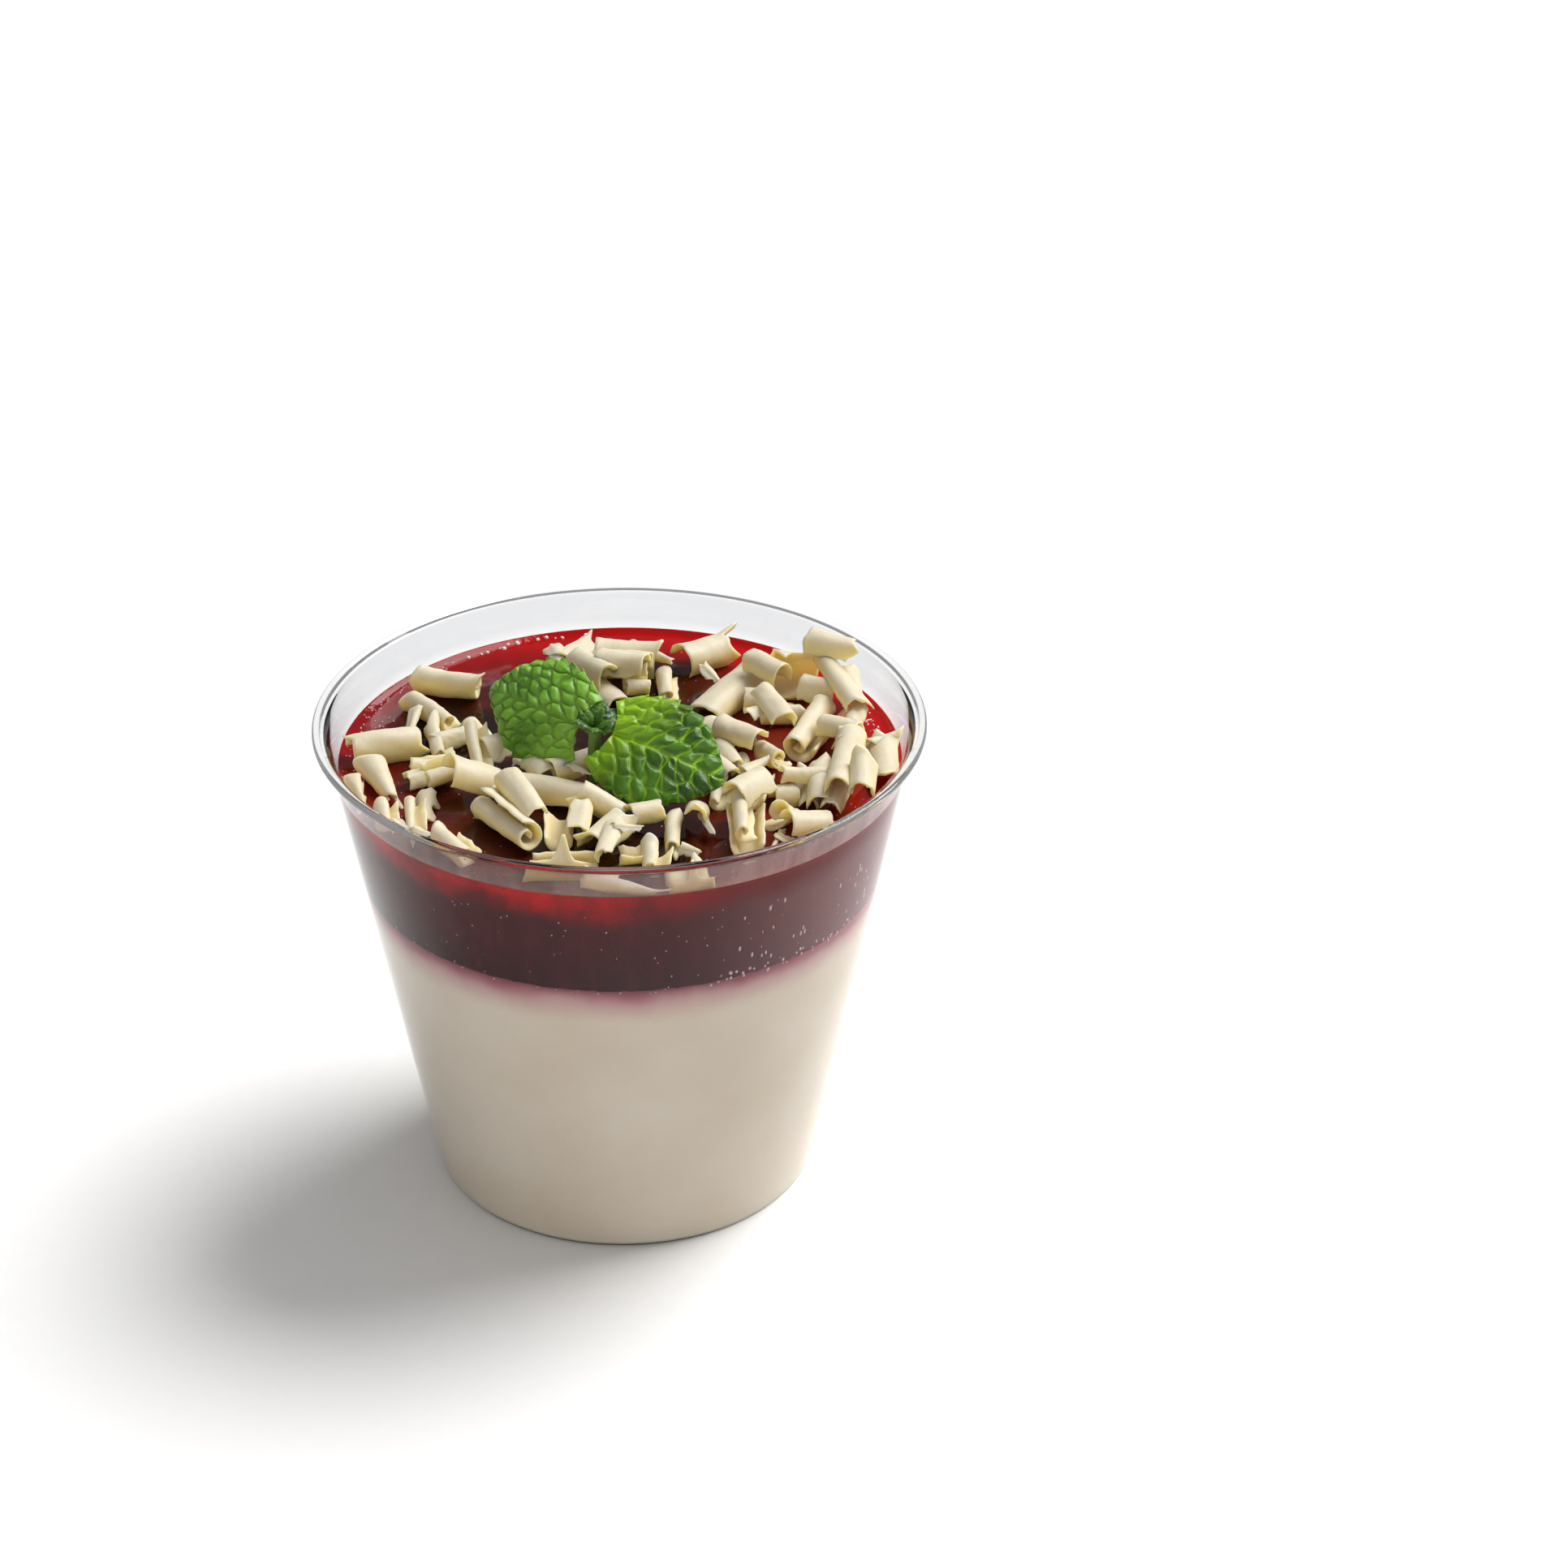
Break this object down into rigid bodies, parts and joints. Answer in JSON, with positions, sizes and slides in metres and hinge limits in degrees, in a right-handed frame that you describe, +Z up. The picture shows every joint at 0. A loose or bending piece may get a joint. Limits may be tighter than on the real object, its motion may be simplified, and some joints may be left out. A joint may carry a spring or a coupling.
{
  "type": "panna cotta",
  "caption": "Panna cotta under dark red berry jelly in a clear plastic cup, strewn with white chocolate curls and topped with a sprig of mint.",
  "frame": {"origin": "middle of the cup's foot, on the surface that it stands on", "axes": "+Z up along the cup's axis, +X to the right of a viewer who has the drooping mint leaf on the right, +Y away from that viewer"},
  "size_m": [0.09, 0.09, 0.0826],
  "materials": {
    "clear_plastic": "clear, hard, glossy plastic with a thin wall",
    "panna_cotta": "set cream: off-white, soft, faintly translucent, pinkish just under the jelly",
    "berry_jelly": "wet, clear set jelly: dark red to nearly black where deep, bright red where thin",
    "white_chocolate": "smooth, waxy, pale ivory",
    "mint": "fresh green leaf, puckered between pale veins, with a soft shine"
  },
  "bodies": {
    "root": {"cup": "clear_plastic", "panna_cotta": "panna_cotta", "berry_jelly": "berry_jelly", "curl_01": "white_chocolate", "curl_02": "white_chocolate", "curl_03": "white_chocolate", "curl_04": "white_chocolate", "curl_05": "white_chocolate", "curl_06": "white_chocolate", "curl_07": "white_chocolate", "curl_08": "white_chocolate", "curl_09": "white_chocolate", "curl_10": "white_chocolate", "curl_11": "white_chocolate", "curl_12": "white_chocolate", "curl_13": "white_chocolate", "curl_14": "white_chocolate", "curl_15": "white_chocolate", "curl_16": "white_chocolate", "curl_17": "white_chocolate", "curl_18": "white_chocolate", "curl_19": "white_chocolate", "curl_20": "white_chocolate", "curl_21": "white_chocolate", "curl_22": "white_chocolate", "curl_23": "white_chocolate", "curl_24": "white_chocolate", "curl_25": "white_chocolate", "curl_26": "white_chocolate", "curl_27": "white_chocolate", "curl_28": "white_chocolate", "curl_29": "white_chocolate", "curl_30": "white_chocolate", "curl_31": "white_chocolate", "curl_32": "white_chocolate", "curl_33": "white_chocolate", "curl_34": "white_chocolate", "curl_35": "white_chocolate", "curl_36": "white_chocolate", "curl_37": "white_chocolate", "curl_38": "white_chocolate", "curl_39": "white_chocolate", "curl_40": "white_chocolate", "curl_41": "white_chocolate", "curl_42": "white_chocolate", "curl_43": "white_chocolate", "curl_44": "white_chocolate", "curl_45": "white_chocolate", "curl_46": "white_chocolate", "curl_47": "white_chocolate", "curl_48": "white_chocolate", "curl_49": "white_chocolate", "curl_50": "white_chocolate", "curl_51": "white_chocolate", "curl_52": "white_chocolate", "curl_53": "white_chocolate", "curl_54": "white_chocolate", "mint_leaf_left": "mint", "mint_leaf_right": "mint", "mint_sprig": "mint"}
  },
  "joints": []
}
